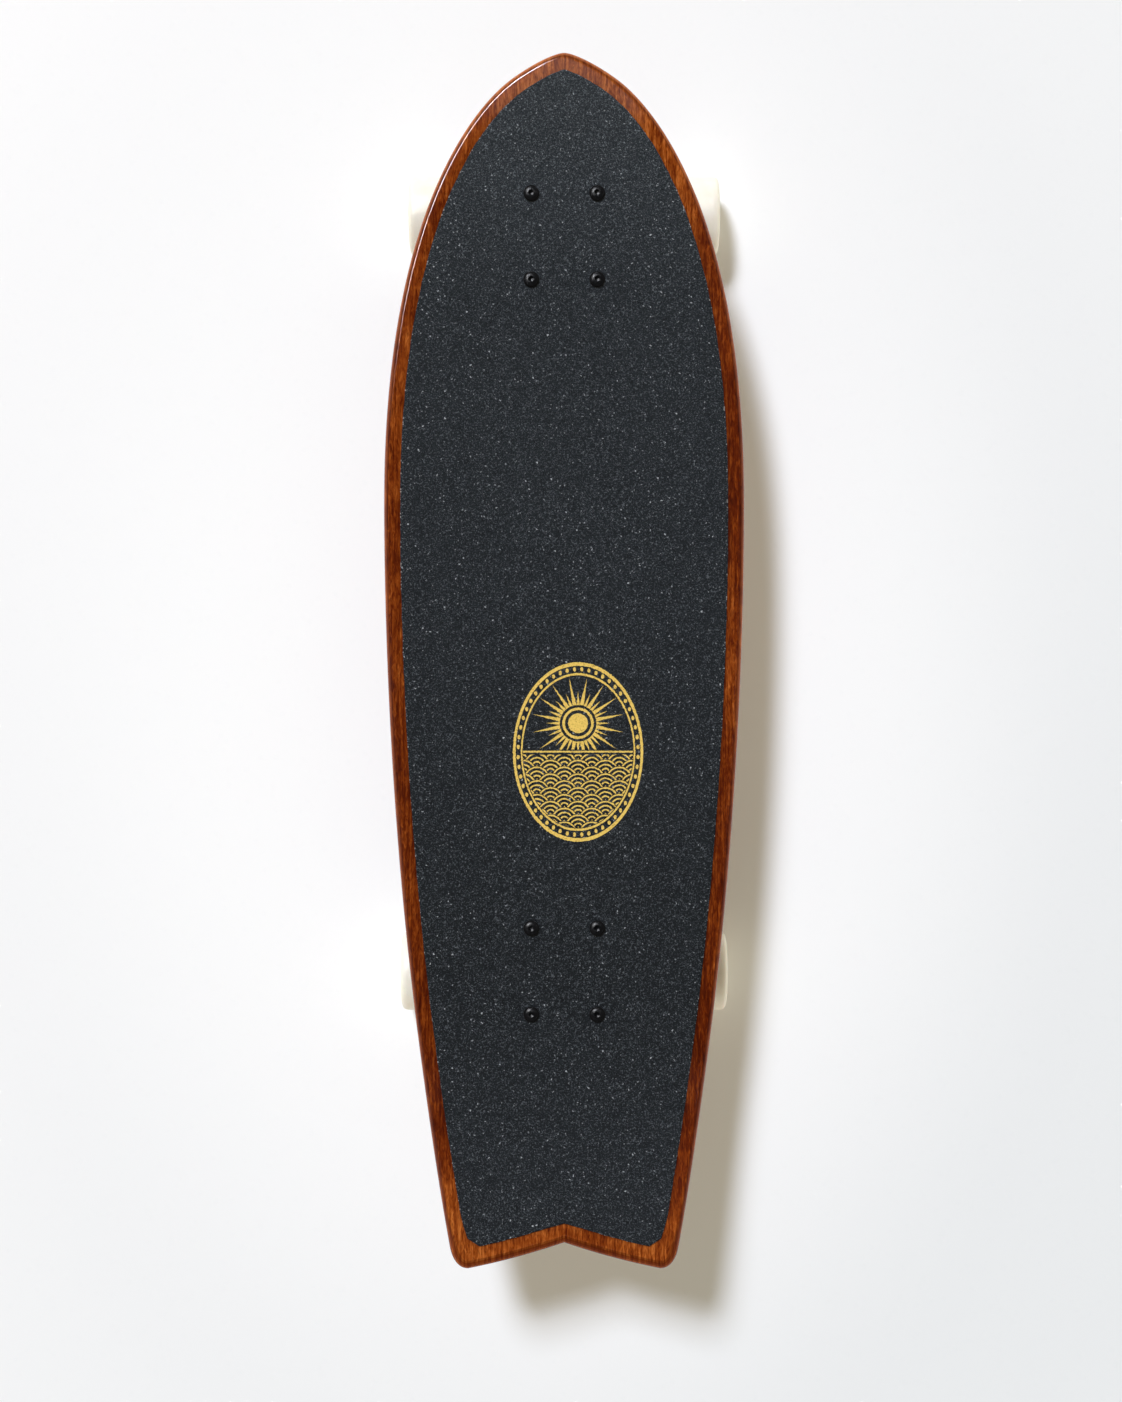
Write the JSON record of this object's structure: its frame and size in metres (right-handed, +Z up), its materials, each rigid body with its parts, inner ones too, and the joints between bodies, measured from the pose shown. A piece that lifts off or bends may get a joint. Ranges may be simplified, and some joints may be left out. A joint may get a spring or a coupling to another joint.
{
  "type": "surf skateboard",
  "caption": "Wooden board with a pointed nose, swallow tail, grit top and raised tail, on a swinging, spring-centred front truck and a plain rear truck.",
  "frame": {"origin": "on the ground under the middle of the deck, with the four wheels standing on z = 0: the middle of the bounding box's bottom face", "axes": "+Y towards the nose, +Z up, +X to the right as seen from above with the nose ahead"},
  "size_m": [0.226, 0.7574, 0.131],
  "materials": {
    "lacquered_wood": "dark red-brown wood under glossy clear lacquer",
    "grip_tape": "coarse charcoal grit with a gold print",
    "black_plastic": "matte black",
    "black_casting": "satin black paint",
    "cast_metal": "cast and tumbled",
    "zinc_steel": "bright zinc plate",
    "black_steel": "gloss black",
    "spring_steel": "oiled dark steel",
    "bronze": "plain turned bronze",
    "bearing_steel": "polished",
    "wheel_urethane": "satin off-white cast urethane",
    "bushing_urethane": "satin cream urethane"
  },
  "bodies": {
    "board": {"deck": "lacquered_wood", "grip_tape": "grip_tape", "front_riser": "black_plastic", "rear_riser": "black_plastic", "deck_bolt_1": "black_steel", "deck_bolt_2": "black_steel", "deck_bolt_3": "black_steel", "deck_bolt_4": "black_steel", "deck_bolt_5": "black_steel", "deck_bolt_6": "black_steel", "deck_bolt_7": "black_steel", "deck_bolt_8": "black_steel", "deck_nut_1": "zinc_steel", "deck_nut_2": "zinc_steel", "deck_nut_3": "zinc_steel", "deck_nut_4": "zinc_steel", "deck_nut_5": "zinc_steel", "deck_nut_6": "zinc_steel", "deck_nut_7": "zinc_steel", "deck_nut_8": "zinc_steel", "front_baseplate": "black_casting", "swing_pin": "zinc_steel", "swing_thrust_washer": "bronze", "swing_spring": "spring_steel", "swing_spring_retainer": "zinc_steel", "rear_baseplate": "cast_metal", "rear_kingpin": "black_steel", "rear_kingpin_nut": "zinc_steel", "rear_washer": "zinc_steel", "rear_bushing_upper": "bushing_urethane", "rear_bushing_lower": "bushing_urethane", "rear_pivot_cup": "black_plastic"},
    "swing_arm": {"swing_arm": "cast_metal", "swing_sleeve": "bronze", "front_kingpin": "black_steel", "front_kingpin_nut": "zinc_steel", "front_washer": "zinc_steel", "front_bushing_upper": "bushing_urethane", "front_bushing_lower": "bushing_urethane", "front_pivot_cup": "black_plastic"},
    "front_hanger": {"front_hanger": "cast_metal", "front_axle": "zinc_steel", "front_left_axle_nut": "zinc_steel", "front_right_axle_nut": "zinc_steel"},
    "rear_hanger": {"rear_hanger": "cast_metal", "rear_axle": "zinc_steel", "rear_left_axle_nut": "zinc_steel", "rear_right_axle_nut": "zinc_steel"},
    "front_left_wheel": {"front_left_wheel": "wheel_urethane", "front_left_bearing_a": "bearing_steel", "front_left_bearing_b": "bearing_steel"},
    "front_right_wheel": {"front_right_wheel": "wheel_urethane", "front_right_bearing_a": "bearing_steel", "front_right_bearing_b": "bearing_steel"},
    "rear_left_wheel": {"rear_left_wheel": "wheel_urethane", "rear_left_bearing_a": "bearing_steel", "rear_left_bearing_b": "bearing_steel"},
    "rear_right_wheel": {"rear_right_wheel": "wheel_urethane", "rear_right_bearing_a": "bearing_steel", "rear_right_bearing_b": "bearing_steel"}
  },
  "joints": [
    {"name": "arm_swing", "type": "hinge", "parent": "board", "child": "swing_arm", "pos_m": [0, 0.238, 0.08054], "axis": [0, 0.2588, 0.9659], "range_deg": [-22, 22], "stiffness_Nm_per_rad": 14, "deforming": ["swing_spring"]},
    {"name": "front_lean", "type": "hinge", "parent": "swing_arm", "child": "front_hanger", "pos_m": [0, 0.26926, 0.04957], "axis": [0, 0.8831, 0.4691], "range_deg": [-12, 12], "stiffness_Nm_per_rad": 60, "deforming": ["front_bushing_upper", "front_bushing_lower"]},
    {"name": "rear_lean", "type": "hinge", "parent": "board", "child": "rear_hanger", "pos_m": [0, -0.18156, 0.04957], "axis": [0, -0.8831, 0.4691], "range_deg": [-12, 12], "stiffness_Nm_per_rad": 60, "deforming": ["rear_bushing_upper", "rear_bushing_lower"]},
    {"name": "front_left_wheel_spin", "type": "hinge", "parent": "front_hanger", "child": "front_left_wheel", "pos_m": [-0.086, 0.2935, 0.02584], "axis": [1, 0, 0], "continuous": true},
    {"name": "front_right_wheel_spin", "type": "hinge", "parent": "front_hanger", "child": "front_right_wheel", "pos_m": [0.086, 0.2935, 0.02584], "axis": [1, 0, 0], "continuous": true},
    {"name": "rear_left_wheel_spin", "type": "hinge", "parent": "rear_hanger", "child": "rear_left_wheel", "pos_m": [-0.091, -0.2058, 0.02584], "axis": [1, 0, 0], "continuous": true},
    {"name": "rear_right_wheel_spin", "type": "hinge", "parent": "rear_hanger", "child": "rear_right_wheel", "pos_m": [0.091, -0.2058, 0.02584], "axis": [1, 0, 0], "continuous": true}
  ]
}
